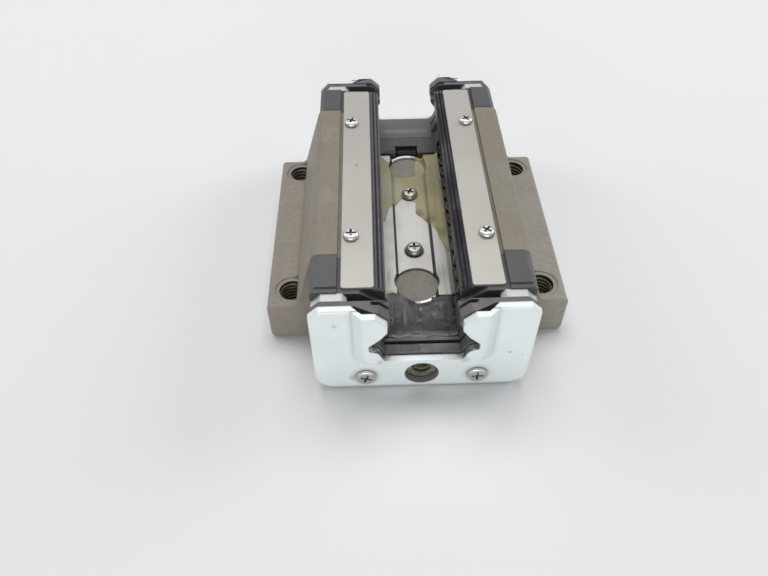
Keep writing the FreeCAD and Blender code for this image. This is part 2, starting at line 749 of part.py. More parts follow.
def mouth_side():
    """The +X half of the rail opening of an end plate, from its floor up."""
    return [
        ("mouth_floor_width / 2", MOUTH_FLOOR),
        ("mouth_lobe_width / 2", LOBE),
        ("mouth_ridge_width / 2", RIDGE_LOW),
        ("mouth_ridge_width / 2", RIDGE_HIGH),
        ("mouth_throat_width / 2", THROAT),
        ("mouth_neck_width / 2", NECK_LOW),
        ("mouth_neck_width / 2", NECK_HIGH),
        ("mouth_flare_width / 2", COVER_TOP),
        ("mouth_flare_width / 2", CLEAR_ABOVE),
    ]


def cut_mouth(body, start, length=None, inset=None):
    """Cut the rail opening into an end plate, drawn in where a rubber lip reaches past it."""
    outline = mirrored(mouth_side())
    if inset is not None:
        outline = drawn_in(outline, inset)
    pocket(polygon(sketch_on(body, "XZ_Plane", start), outline), length, reverse=True)


def cut_fixings(body, screw_radius, port_radius):
    holes = sketch_on(body, "XZ_Plane")
    for side in SIDES.values():
        circle(holes, f"{side} * cover_screw_across / 2", "cover_screw_height", screw_radius)
    circle(holes, "0", "port_height", port_radius)
    pocket(holes, reverse=True)


def trim_above(body, height):
    top = sketch_on(body, "XZ_Plane")
    rectangle(top, "-flange_width", "flange_width", height, f"2 * {CLEAR_ABOVE}")
    pocket(top, reverse=True)


def press_centre(body, start, shape, **options):
    """Raise the middle of a cover, or hollow it, with slanting sides and round corners."""
    reach = "(emboss_width / 2)"
    shape(rectangle(sketch_on(body, "XZ_Plane", start), f"-{reach}", reach, "emboss_floor", CLEAR_ABOVE),
          "cover_rise", taper="-emboss_angle", **options)

    def lower_corner(edge):
        first, last = edge.Vertexes[0].Point, edge.Vertexes[-1].Point
        slanting = all(abs(a - b) > TOUCH for a, b in zip(first, last))
        return slanting and abs(min(first.z, last.z) - value("emboss_floor")) < TOUCH
    round_edges(body, "emboss_corner", lower_corner)


def raise_lip(body):
    """The front lip of an end seal: it leans from a foot inside the raised cover to the rim of the mouth."""
    foot_side = "(emboss_width / 2 - seal_foot)"
    foot_floor = "emboss_floor + seal_foot"
    floor_corner, lobe, *upright = mouth_side()
    feet = [(floor_corner[0], foot_floor), (lobe[0], foot_floor)]
    feet += [(foot_side, height) for _, height in upright]
    foot = polygon(sketch_on(body, "XZ_Plane", SEAL_FACE), mirrored(feet))
    rim = sketch_on(body, "XZ_Plane", f"{SEAL_FACE} + cover_rise - seal_inset")
    polygon(rim, drawn_in(mirrored(mouth_side()), "(-seal_rim)"))
    lip = body.newObject("PartDesign::AdditiveLoft", f"{body.Name}_lip")
    lip.Profile = foot
    lip.Sections = [rim]
    lip.Ruled = True


def seal_plate(name, angle):
    body = new_body(name)
    cut = "plate_cut_width / 2"
    half = plate_side(PLATE_SIDE, PLATE_TOP) + [
        (f"{cut} + plate_cut_break", PLATE_TOP),
        (cut, f"{PLATE_TOP} - plate_cut_break"),
        (cut, "plate_cut_floor"),
    ]
    pad(polygon(sketch_on(body, "XZ_Plane", CAP_FACE), mirrored(half)), "plate_thickness")
    round_edges(body, "cover_corner", corner_edge(PLATE_SIDE, "cover_lift"))
    round_edges(body, "emboss_corner", corner_edge(cut, "plate_cut_floor"))
    cut_fixings(body, COVER_HOLE, "port_hole / 2")
    turn_end(body, angle)
    return body


def end_seal(name, angle):
    """The rubber seal: a flat sheet, a back lip inside the seal plate and a front lip in the cover."""
    body = new_body(name)
    sheet_outline = drawn_in(mirrored(plate_side(COVER_SIDE, COVER_TOP)), "seal_inset")
    pad(polygon(sketch_on(body, "XZ_Plane", PLATE_FACE), sheet_outline), "seal_thickness")
    round_edges(body, "cover_corner", corner_edge(f"{COVER_SIDE} - seal_inset", "cover_lift + seal_inset"))
    back = sketch_on(body, "XZ_Plane", CAP_FACE)
    back_edge = "(plate_cut_width / 2 - seal_inset)"
    back_floor = "plate_cut_floor + seal_inset"
    rectangle(back, f"-{back_edge}", back_edge, back_floor, f"{COVER_TOP} - seal_drop")
    pad(back, "plate_thickness")
    round_edges(body, "emboss_corner", corner_edge(back_edge, back_floor))
    raise_lip(body)
    trim_above(body, COVER_TOP)
    cut_mouth(body, CAP_FACE, inset="seal_overlap")
    groove_start = f"{SEAL_FACE} - (seal_thickness + lip_groove_width) / 2"
    cut_mouth(body, groove_start, "lip_groove_width", "(-lip_groove)")
    cut_fixings(body, COVER_HOLE, "port_hole / 2")
    turn_end(body, angle)
    return body


def cover_plate(name, angle):
    """The pressed outer plate, with its middle raised and hollow behind."""
    body = new_body(name)
    outline = mirrored(plate_side(COVER_SIDE, COVER_TOP))
    pad(polygon(sketch_on(body, "XZ_Plane", SEAL_FACE), outline), "cover_sheet")
    round_edges(body, "cover_corner", corner_edge(COVER_SIDE, "cover_lift"))
    doc.recompute()
    round_edges(body, "cover_edge", front_edge(body))
    press_centre(body, COVER_FACE, pad)
    doc.recompute()
    round_edges(body, "emboss_round", front_edge(body))
    press_centre(body, SEAL_FACE, pocket, reverse=True)
    trim_above(body, COVER_TOP)
    cut_mouth(body, SEAL_FACE)
    round_edges(body, "mouth_lobe_round", corner_edge("mouth_lobe_width / 2", LOBE))
    round_edges(body, "mouth_floor_round", corner_edge("mouth_floor_width / 2", MOUTH_FLOOR))
    for height in (RIDGE_LOW, RIDGE_HIGH):
        round_edges(body, "mouth_ridge_round", corner_edge("mouth_ridge_width / 2", height))
    cut_fixings(body, COVER_HOLE, "port_hole / 2")
    turn_end(body, angle)
    return body


def port_bush(name, angle):
    """The threaded bush: a shank in the cap and a collar that fills the plate's hole up to the cover."""
    body = new_body(name)
    shank = sketch_on(body, "XZ_Plane", CAP_FACE)
    circle(shank, "0", "port_height", "port_bush / 2 - screw_play")
    pad(shank, "port_length - screw_play", reverse=True)
    collar = sketch_on(body, "XZ_Plane", CAP_FACE)
    circle(collar, "0", "port_height", "port_hole / 2 - port_collar_gap")
    pad(collar, f"{SEAL_FACE} - {CAP_FACE} - port_collar_gap")
    bore = sketch_on(body, "XZ_Plane")
    circle(bore, "0", "port_height", "port_thread / 2")
    pocket(bore, reverse=True)
    turn_end(body, angle)
    return body


def cover_screws(name, angle):
    right_first = reversed(SIDES.values())
    centres = [(f"{side} * cover_screw_across / 2", "cover_screw_height") for side in right_first]
    length = f"{COVER_FACE} - {HALF_BODY} + cover_screw_engagement"
    body = screw_group(name, "cover_screw", "XZ_Plane", COVER_FACE, centres, length)
    turn_end(body, angle)
    return body


pieces = [carriage_body(), retainer_plate()]
for end, angle in ENDS.items():
    pieces.append(end_cap(f"end_cap_{end}", angle))
    pieces.append(seal_plate(f"seal_plate_{end}", angle))
    pieces.append(end_seal(f"end_seal_{end}", angle))
    pieces.append(cover_plate(f"cover_plate_{end}", angle))
    pieces.append(port_bush(f"port_bush_{end}", angle))
    pieces.append(cover_screws(f"cover_screws_{end}", angle))
    for side_name, side in SIDES.items():
        own_side = f"{side} * cos({angle})"
        pieces.append(return_guide(f"return_guide_{end}_{side_name}", own_side, angle))
for side_name, angle in (("right", 0), ("left", 180)):
    pieces.append(ball_keeper(f"ball_keeper_{side_name}", angle))
    pieces.append(side_strip(f"side_strip_{side_name}", angle))
    pieces.append(side_seal(f"side_seal_{side_name}", angle))
strip_centres = four_corners(STRIP_SCREW_X, "strip_screw_along / 2")
pieces.append(screw_group("strip_screws", "strip_screw", "XY_Plane", STRIP_TOP, strip_centres,
                          "strip_screw_length"))
floor_centres = [("0", f"{along} * retainer_screw_along / 2") for along in SIDES.values()]
pieces.append(screw_group("retainer_screws", "retainer_screw", "XY_Plane", TROUGH_TOP, floor_centres,
                          "retainer_screw_length"))
for row_name, height in ROWS.items():
    for side_name, side in SIDES.items():
        circuit = f"balls_{row_name}_{side_name}"
        pieces.append(ball_row(f"{circuit}_loaded", f"{side} * {LOAD_X}", height))
        pieces.append(ball_row(f"{circuit}_return", f"{side} * {RETURN_X}", height))
        for end, angle in ENDS.items():
            pieces.append(ball_turn(f"{circuit}_turn_{end}", f"{side} * {TURN_X}", height, angle))
doc.recompute()

for thing in doc.Objects:
    if "Invalid" in thing.State or "Error" in thing.State:
        raise RuntimeError(f"{thing.Name}: {thing.State}")
os.makedirs("parts", exist_ok=True)
for piece in pieces:
    if piece.Shape.isNull() or not piece.Shape.isValid():
        raise RuntimeError(f"{piece.Label} has no valid shape")
    piece.Shape.exportStep(f"parts/{piece.Label}.step")
    box = piece.Shape.BoundBox
    print(f"{piece.Label}: {len(piece.Shape.Solids)} solids, {piece.Shape.Volume:.1f} mm3, "
          f"x {box.XMin:.2f} {box.XMax:.2f} y {box.YMin:.2f} {box.YMax:.2f} z {box.ZMin:.2f} {box.ZMax:.2f}")
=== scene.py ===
import json
import math
import bpy
from mathutils import Matrix, Vector, noise
from mathutils.bvhtree import BVHTree


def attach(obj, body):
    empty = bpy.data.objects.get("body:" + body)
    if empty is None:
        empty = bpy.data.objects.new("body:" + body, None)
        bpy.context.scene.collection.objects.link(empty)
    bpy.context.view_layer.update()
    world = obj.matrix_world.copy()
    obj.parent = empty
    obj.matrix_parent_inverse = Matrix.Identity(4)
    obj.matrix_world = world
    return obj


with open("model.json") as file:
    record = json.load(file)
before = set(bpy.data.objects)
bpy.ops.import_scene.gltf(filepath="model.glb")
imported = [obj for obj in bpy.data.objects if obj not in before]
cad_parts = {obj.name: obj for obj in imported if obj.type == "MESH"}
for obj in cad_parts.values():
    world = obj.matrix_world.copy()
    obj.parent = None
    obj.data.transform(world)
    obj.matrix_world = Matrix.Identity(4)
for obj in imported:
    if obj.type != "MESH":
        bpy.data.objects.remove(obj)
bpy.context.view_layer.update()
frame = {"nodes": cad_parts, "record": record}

MM = 0.001

# camera, as solved from the photograph's straight edges: lens in pixels, place in mm, angles in degrees
IMAGE_WIDTH = 768
SENSOR_WIDTH = 36.0
LENS_PIXELS = 671.5
CAMERA_PLACE = Vector((-14.3, -181.6, 184.3))
CAMERA_DOWN = 48.30
CAMERA_YAW = 1.23
CAMERA_ROLL = -0.55
CLIP_START = 0.01


def linear(red, green, blue):
    """A colour written as 0 to 255 on a screen, as the light values that shaders take."""
    def channel(value):
        share = value / 255
        return share / 12.92 if share <= 0.04045 else ((share + 0.055) / 1.055) ** 2.4
    return (channel(red), channel(green), channel(blue), 1.0)


# places on the part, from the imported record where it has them; the flange's top in metres, the rest in mm
mounts = {mount["name"]: mount for mount in frame["record"]["mounts"]}
holes = mounts["flange_holes"]["dims"]
BOLT_PLACES = [(side * holes["spacing_x_mm"] / 2, end * holes["spacing_y_mm"] / 2)
               for side in (-1, 1) for end in (-1, 1)]
FLANGE_TOP = 15.3 * MM
LEG_FOOT = 16
LEG_SHOULDER = 32
PORT_HEIGHT = mounts["grease_port_front"]["pos_m"][2] / MM
PORT_WALL_RADIUS = 5.37
RETAINER_SCREW_Y = 15.05
RETAINER_FACE = 16.5
SCREW_RING_RADIUS = 3.2
STRIP_SPECK = (-19.4, 5.5, 38.75)

# the mouth of the end plates, darker in specks on its walls and at its corners, in mm
MOUTH_HALF_WIDTH = 20
MOUTH_AWAY = 62
MOUTH_HALF_DEPTH = 6
MOUTH_FLOOR = 19.9
MOUTH_TOP = 26.5
MOUTH_CORNER_X = 12.6
MOUTH_CORNER_Y = 61
MOUTH_CORNER_Z = 18.4

# boxes in mm, lowest and highest corner: smudged pads and bends of the retainer plate (bends dark with grease
# and painted shade), greasy places, and the far cap's notch, black with grease and painted shade
SMUDGED_PADS = [((-12, -40, 15), (-7.6, -30, 21)), ((7.6, -40, 15), (12, -28, 21))]
PLATE_BENDS = [((-6.7, -40, 15), (-6.0, 40, 20)), ((6.0, -40, 15), (6.7, 40, 20))]
PAD_START = 6.7
PAD_FULL = 7.2
FAR_CAP_NOTCH = ((-4.4, 38, 14), (4.4, 43.1, 18.4))
RIGHT_SIDE_SEAL = ((8, -60, 20), (22, 50, 45))
CHANNEL_SCREWS = ((-5, -25, 15), (5, 25, 24))

# spots of colour, stains unless marked as painted highlight or painted shade: place in mm, reach, softness,
# strength, tone and, for long ones, how much each axis counts
RETAINER_STAINS_AND_HIGHLIGHTS = [((8.6, -28.4, 17.0), 0.4, 1.4, 1.0, linear(150, 147, 143)),
                   # painted highlight: the glint on the web at the far end of the retainer's trough
                   ((-2.4, 38.2, 16.5), 3.6, 1.4, 1.0, linear(244, 243, 241)),
                   ((-9.4, -38.4, 17.5), 2.2, 2.4, 0.85, linear(134, 131, 98)),
                   ((-3.6, -39.4, 16.5), 2.2, 2.0, 0.8, linear(132, 128, 104)),
                   ((8.3, -33.0, 17.0), 0.2, 0.8, 0.9, linear(122, 119, 114), (1, 0.25, 1)),
                   # painted highlight: the glint on the web at the near end of the retainer's trough
                   ((3.4, -39.4, 16.5), 2.0, 1.2, 1.0, linear(244, 243, 240))]
COVER_STAINS = [((-26.3, -60.5, 32.0), 0.35, 0.8, 0.35, linear(150, 154, 154)),
                ((26.7, -60.5, 17.4), 0.20, 0.5, 0.60, linear(120, 124, 108)),
                ((30.9, -60.5, 15.9), 0.15, 0.4, 0.35, linear(150, 152, 146)),
                ((-21.4, -60.5, 5.8), 0.90, 1.2, 0.55, linear(176, 176, 120))]
CHANNEL_STAINS = [((2.6, 4.2, 16.5), 0.5, 3.0, 0.8, linear(132, 124, 76)),
                  ((6.4, -0.6, 16.5), 0.8, 3.4, 0.8, linear(132, 124, 76)),
                  ((9.2, -8.0, 18.0), 0.8, 4.0, 0.7, linear(138, 130, 82)),
                  ((-3.4, 22.4, 16.5), 1.0, 4.0, 0.6, linear(182, 172, 110)),
                  ((-8.6, 18.0, 17.0), 2.5, 8.0, 0.8, linear(208, 204, 180)),
                  ((8.0, 22.0, 17.0), 2.0, 9.0, 0.5, linear(160, 156, 132))]
# stains in olive tints; the near-black lines and spots are painted shade of cracks, dents, slits and the
# front ledge; the pale grey spots are painted glints
GRIME_STAINS_SHADE_AND_GLINTS = [((0.0, -37.6, 0.0), 0.6, 2.6, 0.5, linear(116, 111, 88), (0, 1, 0)),
                ((7.6, -53.0, 19.0), 0.30, 0.20, 1.0, linear(14, 13, 15), (0.08, 1, 0)),
                ((0.5, -41.6, 17.0), 0.8, 2.2, 0.6, linear(104, 100, 88)),
                ((-8.0, -46.5, 17.0), 0.18, 0.40, 1.0, linear(12, 11, 13), (1, 0.09, 0)),
                ((9.6, -54.4, 19.0), 0.3, 0.5, 0.7, linear(150, 148, 150)),
                ((-0.5, -44.4, 17.0), 0.20, 0.55, 1.0, linear(10, 10, 12), (1, 0.30, 0)),
                ((1.7, -44.8, 17.0), 0.16, 0.50, 0.9, linear(14, 14, 17), (1, 0.40, 0)),
                ((0.5, -46.6, 17.0), 0.20, 0.60, 1.0, linear(12, 12, 15), (0.45, 1, 0)),
                ((0.4, -43.6, 17.0), 0.15, 0.45, 0.8, linear(150, 152, 160), (1, 0.6, 0)),
                ((0.0, -54.5, 0.0), 0.45, 0.70, 0.75, linear(48, 46, 50), (0, 1, 0)),
                ((-1.4, -52.4, 18.0), 1.0, 2.6, 0.5, linear(106, 103, 106)),
                ((-5.8, -47.0, 17.0), 0.12, 0.40, 0.9, linear(14, 13, 15), (1, 0.12, 0)),
                ((-4.9, -47.5, 17.0), 0.15, 0.50, 0.7, linear(128, 124, 132), (1, 0.10, 0)),
                ((9.9, -47.0, 17.0), 0.2, 0.7, 0.6, linear(38, 36, 40), (1, 0.12, 0))]


class Finish:
    """A material under construction: its nodes are added by short calls, in the part's own coordinates."""

    def __init__(self, name):
        self.material = bpy.data.materials.new(name)
        self.material.use_nodes = True
        self.tree = self.material.node_tree
        self.shader = self.tree.nodes["Principled BSDF"]
        self.place = self.add("ShaderNodeTexCoord").outputs["Object"]

    def add(self, kind, settings=None, **inputs):
        """A new node, with its settings and with its inputs named by words joined by underscores."""
        made = self.tree.nodes.new(kind)
        for name, value in (settings or {}).items():
            setattr(made, name, value)
        for name, value in inputs.items():
            self.feed(made.inputs[name.replace("_", " ")], value)
        return made

    def feed(self, socket, value):
        """Gives a socket a number or a colour, or links it to another node's output."""
        if isinstance(value, bpy.types.NodeSocket):
            self.tree.links.new(value, socket)
        else:
            socket.default_value = value

    def set(self, **inputs):
        """Gives the surface shader its inputs."""
        for name, value in inputs.items():
            self.feed(self.shader.inputs[name.replace("_", " ")], value)

    def stretched(self, x, y, z):
        """The part's coordinates with each axis scaled."""
        return self.add("ShaderNodeMapping", Vector=self.place, Scale=(x, y, z)).outputs["Vector"]

    def grain(self, scale, detail=4.0, roughness=0.55, place=None):
        """Noise about 0.5, with its scale per metre."""
        made = self.add("ShaderNodeTexNoise", Vector=place or self.place, Scale=scale, Detail=detail,
                        Roughness=roughness)
        return made.outputs["Fac"]

    def remap(self, value, low, high, to_low=0.0, to_high=1.0):
        """A smooth step from one value to another while the given value runs from low to high."""
        made = self.add("ShaderNodeMapRange", {"interpolation_type": "SMOOTHSTEP"})
        for name, number in (("Value", value), ("From Min", low), ("From Max", high),
                             ("To Min", to_low), ("To Max", to_high)):
            self.feed(made.inputs[name], number)
        return made.outputs["Result"]

    def calc(self, operation, first, second=0.0):
        made = self.add("ShaderNodeMath", {"operation": operation})
        self.feed(made.inputs[0], first)
        self.feed(made.inputs[1], second)
        return made.outputs["Value"]

    def times(self, first, second):
        return self.calc("MULTIPLY", first, second)

    def mix(self, factor, first, second):
        """The first colour, turning into the second as the factor rises to 1."""
        made = self.add("ShaderNodeMix", {"data_type": "RGBA"})
        self.feed(made.inputs["Factor"], factor)
        colours = [socket for socket in made.inputs if socket.type == "RGBA"]
        self.feed(colours[0], first)
        self.feed(colours[1], second)
        return next(socket for socket in made.outputs if socket.type == "RGBA")

    def axis(self, name):
        return self.add("ShaderNodeSeparateXYZ", Vector=self.place).outputs[name]

    def near(self, point, reach, soft, keep=(1, 1, 1)):
        """1 within a distance of a point given in mm, fading to 0; keep says how much each axis counts."""
        gap = self.add("ShaderNodeVectorMath", {"operation": "DISTANCE"})
        self.feed(gap.inputs[0], self.stretched(*keep))
        self.feed(gap.inputs[1], Vector(point) * Vector(keep) * MM)
        return self.remap(gap.outputs["Value"], reach * MM, (reach + soft) * MM, 1.0, 0.0)

    def soft_spot(self, tone, point, reach, soft, strength, colour, keep=(1, 1, 1)):
        """A tone with a soft spot of a colour around a point given in mm, used for stains and for painted
        highlights and shade.
        """
        return self.mix(self.times(self.near(point, reach, soft, keep), strength), tone, colour)

    def box(self, low, high, soft):
        """1 inside a box given in mm, fading to 0 outside."""
        inside = 1.0
        for name, start, end in zip("XYZ", low, high):
            value = self.axis(name)
            rising = self.remap(value, (start - soft) * MM, start * MM)
            falling = self.remap(value, end * MM, (end + soft) * MM, 1.0, 0.0)
            inside = self.times(inside, self.times(rising, falling))
        return inside

    def crevice(self, distance, alone=False):
        """1 in open places, towards 0 in corners and gaps, of the piece alone or with its neighbours."""
        made = self.add("ShaderNodeAmbientOcclusion", {"samples": 8, "only_local": alone},
                        Distance=distance * MM)
        return made.outputs["AO"]

    def soft_normal(self, radius):
        """The normal as if sharp edges were rounded by a radius in mm."""
        return self.add("ShaderNodeBevel", {"samples": 4}, Radius=radius * MM).outputs["Normal"]

    def facing(self, name, low, high):
        """1 on faces that run along an axis, towards 0 on faces square to it."""
        normal = self.add("ShaderNodeNewGeometry").outputs["Normal"]
        parts = self.add("ShaderNodeSeparateXYZ", Vector=normal)
        return self.remap(self.calc("ABSOLUTE", parts.outputs[name]), low, high, 1.0, 0.0)

    def edges(self, radius, gain):
        """Towards 1 along sharp edges, from how far the rounded normal leans away from the face's own."""
        lean = self.add("ShaderNodeVectorMath", {"operation": "DOT_PRODUCT"})
        self.feed(lean.inputs[0], self.soft_normal(radius))
        self.feed(lean.inputs[1], self.add("ShaderNodeNewGeometry").outputs["Normal"])
        return self.remap(lean.outputs["Value"], 1.0 - 1.0 / gain, 1.0, 1.0, 0.0)

    def relief(self, height, distance, strength=1.0, normal=None):
        """Fine bumps of a depth in mm, over a rounded normal where one is given."""
        made = self.add("ShaderNodeBump", Height=height, Distance=distance * MM, Strength=strength)
        if normal is not None:
            self.feed(made.inputs["Normal"], normal)
        self.set(Normal=made.outputs["Normal"])


def ground_steel():
    """The carriage: matte ground steel in warm and cool patches, with painted shade in corners and in the
    flange holes, and edges lighter from wear and a painted highlight.
    """
    finish = Finish("ground_steel")
    warm_flange, cool_flange = linear(142, 134, 124), linear(146, 142, 132)
    warm_leg, cool_leg = linear(130, 121, 107), linear(134, 129, 114)
    pale_cloud, brown_spot = linear(148, 143, 135), linear(122, 114, 104)
    bright_line, worn_edge_and_highlight = linear(178, 172, 163), linear(190, 184, 175)
    corner_shade, bore_shade = linear(62, 56, 48), linear(44, 39, 34)
    patch = finish.grain(24, 5.0, 0.62)
    cloud = finish.grain(70, 4.0, 0.6)
    mottle = finish.grain(460, 3.0, 0.6)
    lines = finish.grain(1.0, 2.0, place=finish.stretched(4200, 240, 4200))
    flange = finish.mix(finish.remap(patch, 0.38, 0.62), warm_flange, cool_flange)
    legs = finish.mix(finish.remap(patch, 0.38, 0.62), warm_leg, cool_leg)
    tone = finish.mix(finish.remap(finish.axis("Z"), LEG_FOOT * MM, LEG_SHOULDER * MM), flange, legs)
    tone = finish.mix(finish.remap(cloud, 0.55, 0.72, 0.0, 0.50), tone, pale_cloud)
    tone = finish.mix(finish.remap(mottle, 0.40, 0.75, 0.0, 0.30), tone, brown_spot)
    tone = finish.mix(finish.remap(lines, 0.40, 0.75, 0.0, 0.10), tone, bright_line)
    # painted shade: darker in corners, from ambient occlusion
    tone = finish.mix(finish.remap(finish.crevice(0.9), 0.20, 0.70, 0.50, 0.0), tone, corner_shade)
    # lighter along sharp edges: edge wear and a painted highlight of rounded edges
    tone = finish.mix(finish.times(finish.edges(0.45, 6), 0.45), tone, worn_edge_and_highlight)
    below = finish.remap(finish.axis("Z"), FLANGE_TOP - 0.3 * MM, FLANGE_TOP, 1.0, 0.0)
    # painted shade inside the flange holes, below the flange's top
    for x, y in BOLT_PLACES:
        bore = finish.near((x, y, 0), holes["hole_r_mm"] + 0.05, 0.15, keep=(1, 1, 0))
        tone = finish.mix(finish.times(bore, below), tone, bore_shade)
    finish.set(Base_Color=tone, Metallic=0.15, Roughness=finish.remap(mottle, 0.3, 0.7, 0.50, 0.62))
    finish.relief(mottle, 0.010, 0.3, finish.soft_normal(0.45))
    return finish.material


def cut_thread():
    """The threads of the flange holes: bright along their crests, with painted shade at their roots."""
    finish = Finish("cut_thread")
    bright, dull, root_shade = linear(216, 208, 196), linear(176, 166, 150), linear(44, 39, 33)
    crest = finish.add("ShaderNodeAttribute", {"attribute_name": "depth"}).outputs["Fac"]
    film = finish.grain(600, 3.0)
    tone = finish.mix(finish.remap(film, 0.35, 0.7), bright, dull)
    # painted shade at the thread roots
    tone = finish.mix(finish.remap(crest, 0.35, 0.80, 1.0, 0.0), tone, root_shade)
    finish.set(Base_Color=tone, Metallic=0.4, Roughness=finish.remap(film, 0.3, 0.7, 0.30, 0.45))
    return finish.material


def satin_strip():
    """The side strips: smooth satin stainless with faint clouds and a few specks."""
    finish = Finish("satin_strip")
    dull, bright = linear(164, 160, 155), linear(169, 166, 161)
    fine_speck, large_speck = linear(140, 132, 120), linear(110, 102, 92)
    cloud = finish.grain(30, 3.0)
    fine = finish.grain(2600, 2.0)
    specks = finish.remap(finish.grain(900, 2.0), 0.75, 0.79)
    tone = finish.mix(finish.remap(cloud, 0.35, 0.65), dull, bright)
    tone = finish.mix(finish.times(specks, 0.35), tone, fine_speck)
    tone = finish.mix(finish.near(STRIP_SPECK, 0.25, 0.25), tone, large_speck)
    finish.set(Base_Color=tone, Metallic=0.9, Roughness=finish.remap(fine, 0.3, 0.7, 0.50, 0.56))
    finish.relief(fine, 0.004, 0.2, finish.soft_normal(0.12))
    return finish.material


def bright_retainer():
    """The retainer plate: bright rolled steel, smudged at its near end, with dark grease and painted shade
    round its screws and on its bends, painted shade in corners, and painted highlights on its end webs.
    """
    finish = Finish("bright_retainer")
    bright, dull, line_tone = linear(198, 196, 193), linear(186, 183, 178), linear(172, 167, 158)
    smudge, bend_grease_and_shade = linear(160, 157, 153), linear(96, 92, 84)
    screw_grease_and_shade, corner_shade = linear(74, 70, 62), linear(70, 66, 58)
    lines = finish.grain(1.0, 3.0, place=finish.stretched(2600, 40, 2600))
    smear = finish.grain(90, 3.0, 0.55)
    tone = finish.mix(finish.remap(smear, 0.35, 0.7), bright, dull)
    tone = finish.mix(finish.remap(lines, 0.45, 0.75, 0.0, 0.15), tone, line_tone)
    for soft_spot in RETAINER_STAINS_AND_HIGHLIGHTS:
        tone = finish.soft_spot(tone, *soft_spot)
    streaks = finish.remap(finish.grain(1.0, 3.0, 0.6, finish.stretched(900, 45, 900)), 0.44, 0.66)
    for low, high in SMUDGED_PADS:
        smudged = finish.times(finish.box(low, high, 7.0), streaks)
        across = finish.calc("ABSOLUTE", finish.axis("X"))
        on_pad = finish.remap(across, PAD_START * MM, PAD_FULL * MM)
        tone = finish.mix(finish.times(smudged, on_pad), tone, smudge)
    # grease and painted shade on the slopes of the trough's bends
    for low, high in PLATE_BENDS:
        tone = finish.mix(finish.box(low, high, 0.15), tone, bend_grease_and_shade)
    # a dark ring round each screw head: grease, and painted shade under the head
    for along in (-RETAINER_SCREW_Y, RETAINER_SCREW_Y):
        tone = finish.soft_spot(tone, (0, along, RETAINER_FACE), SCREW_RING_RADIUS, 0.7, 1.0, screw_grease_and_shade)
    # painted shade: darker in corners, from ambient occlusion
    tone = finish.mix(finish.remap(finish.crevice(0.8), 0.2, 0.7, 0.5, 0.0), tone, corner_shade)
    finish.set(Base_Color=tone, Metallic=0.65, Roughness=finish.remap(smear, 0.3, 0.75, 0.46, 0.54))
    finish.relief(lines, 0.003, 0.25, finish.soft_normal(0.25))
    return finish.material


def plated_sheet(name, pale, dull, spots=()):
    """White zinc plating with a cool cast and faint clouds, darker in specks inside its mouth, with painted
    shade in its port, along its embossed steps and in corners.
    """
    finish = Finish(name)
    scratch_tone, port_wall_shade = linear(184, 190, 190), linear(158, 158, 152)
    step_shade, corner_shade = linear(150, 154, 156), linear(110, 110, 104)
    mouth_wall_dark, mouth_corner_dark = linear(84, 84, 79), linear(92, 90, 84)
    cloud = finish.grain(45, 4.0, 0.6)
    fine = finish.grain(1600, 2.0)
    scratch = finish.grain(1.0, 2.0, place=finish.stretched(900, 900, 60))
    specks = finish.remap(finish.grain(520, 4.0, 0.65), 0.34, 0.56)
    tone = finish.mix(finish.remap(cloud, 0.3, 0.7), pale, dull)
    tone = finish.mix(finish.remap(scratch, 0.70, 0.76, 0.0, 0.20), tone, scratch_tone)
    # painted shade along the embossed steps, from ambient occlusion
    tone = finish.mix(finish.remap(finish.crevice(2.2), 0.78, 0.97, 0.50, 0.0), tone, step_shade)
    # painted shade: darker in corners, from ambient occlusion
    tone = finish.mix(finish.remap(finish.crevice(0.7), 0.2, 0.6, 0.5, 0.0), tone, corner_shade)
    wall = finish.facing("Y", 0.35, 0.65)
    # darker specks on the walls inside each mouth and at its corners
    for end in (-1, 1):
        low = (-MOUTH_HALF_WIDTH, end * MOUTH_AWAY - MOUTH_HALF_DEPTH, MOUTH_FLOOR)
        high = (MOUTH_HALF_WIDTH, end * MOUTH_AWAY + MOUTH_HALF_DEPTH, MOUTH_TOP)
        mouth = finish.box(low, high, 0.6)
        mouth_dark_specks = finish.times(finish.times(wall, mouth), specks)
        tone = finish.mix(finish.times(mouth_dark_specks, 0.85), tone, mouth_wall_dark)
        for side in (-1, 1):
            corner = (side * MOUTH_CORNER_X, end * MOUTH_CORNER_Y, MOUTH_CORNER_Z)
            tone = finish.mix(finish.times(finish.near(corner, 1.2, 2.4), specks), tone, mouth_corner_dark)
    # painted shade on the wall inside the port's hole
    in_port = finish.near((0, 0, PORT_HEIGHT), PORT_WALL_RADIUS, 0.1, keep=(1, 0, 1))
    tone = finish.mix(in_port, tone, port_wall_shade)
    for soft_spot in spots:
        tone = finish.soft_spot(tone, *soft_spot)
    finish.set(Base_Color=tone, Metallic=0.28, Roughness=finish.remap(cloud, 0.3, 0.7, 0.42, 0.50))
    finish.relief(fine, 0.003, 0.2, finish.soft_normal(0.60))
    return finish.material


def moulded_plastic(name, light, dark, roughness, greasy=()):
    """Moulded plastic with a fine grain, soft darker patches, painted shade in corners, and black in the
    given boxes: grease, with painted shade in the far cap's notch.
    """
    finish = Finish(name)
    plastic_corner_shade, grease = linear(34, 33, 32), linear(28, 26, 29)
    grain = finish.grain(2400, 2.0)
    bloom = finish.grain(60, 4.0, 0.6)
    tone = finish.mix(finish.remap(bloom, 0.3, 0.7), light, dark)
    # painted shade: darker in corners, from ambient occlusion
    tone = finish.mix(finish.remap(finish.crevice(1.2), 0.15, 0.65, 0.6, 0.0), tone, plastic_corner_shade)
    for low, high in greasy:
        # black in the given boxes: grease, and in the far cap's notch painted shade too
        tone = finish.mix(finish.box(low, high, 0.3), tone, grease)
    sheen = finish.remap(bloom, 0.3, 0.7, roughness - 0.06, roughness + 0.06)
    finish.set(Base_Color=tone, Roughness=sheen)
    finish.relief(grain, 0.008, 0.3, finish.soft_normal(0.30))
    return finish.material


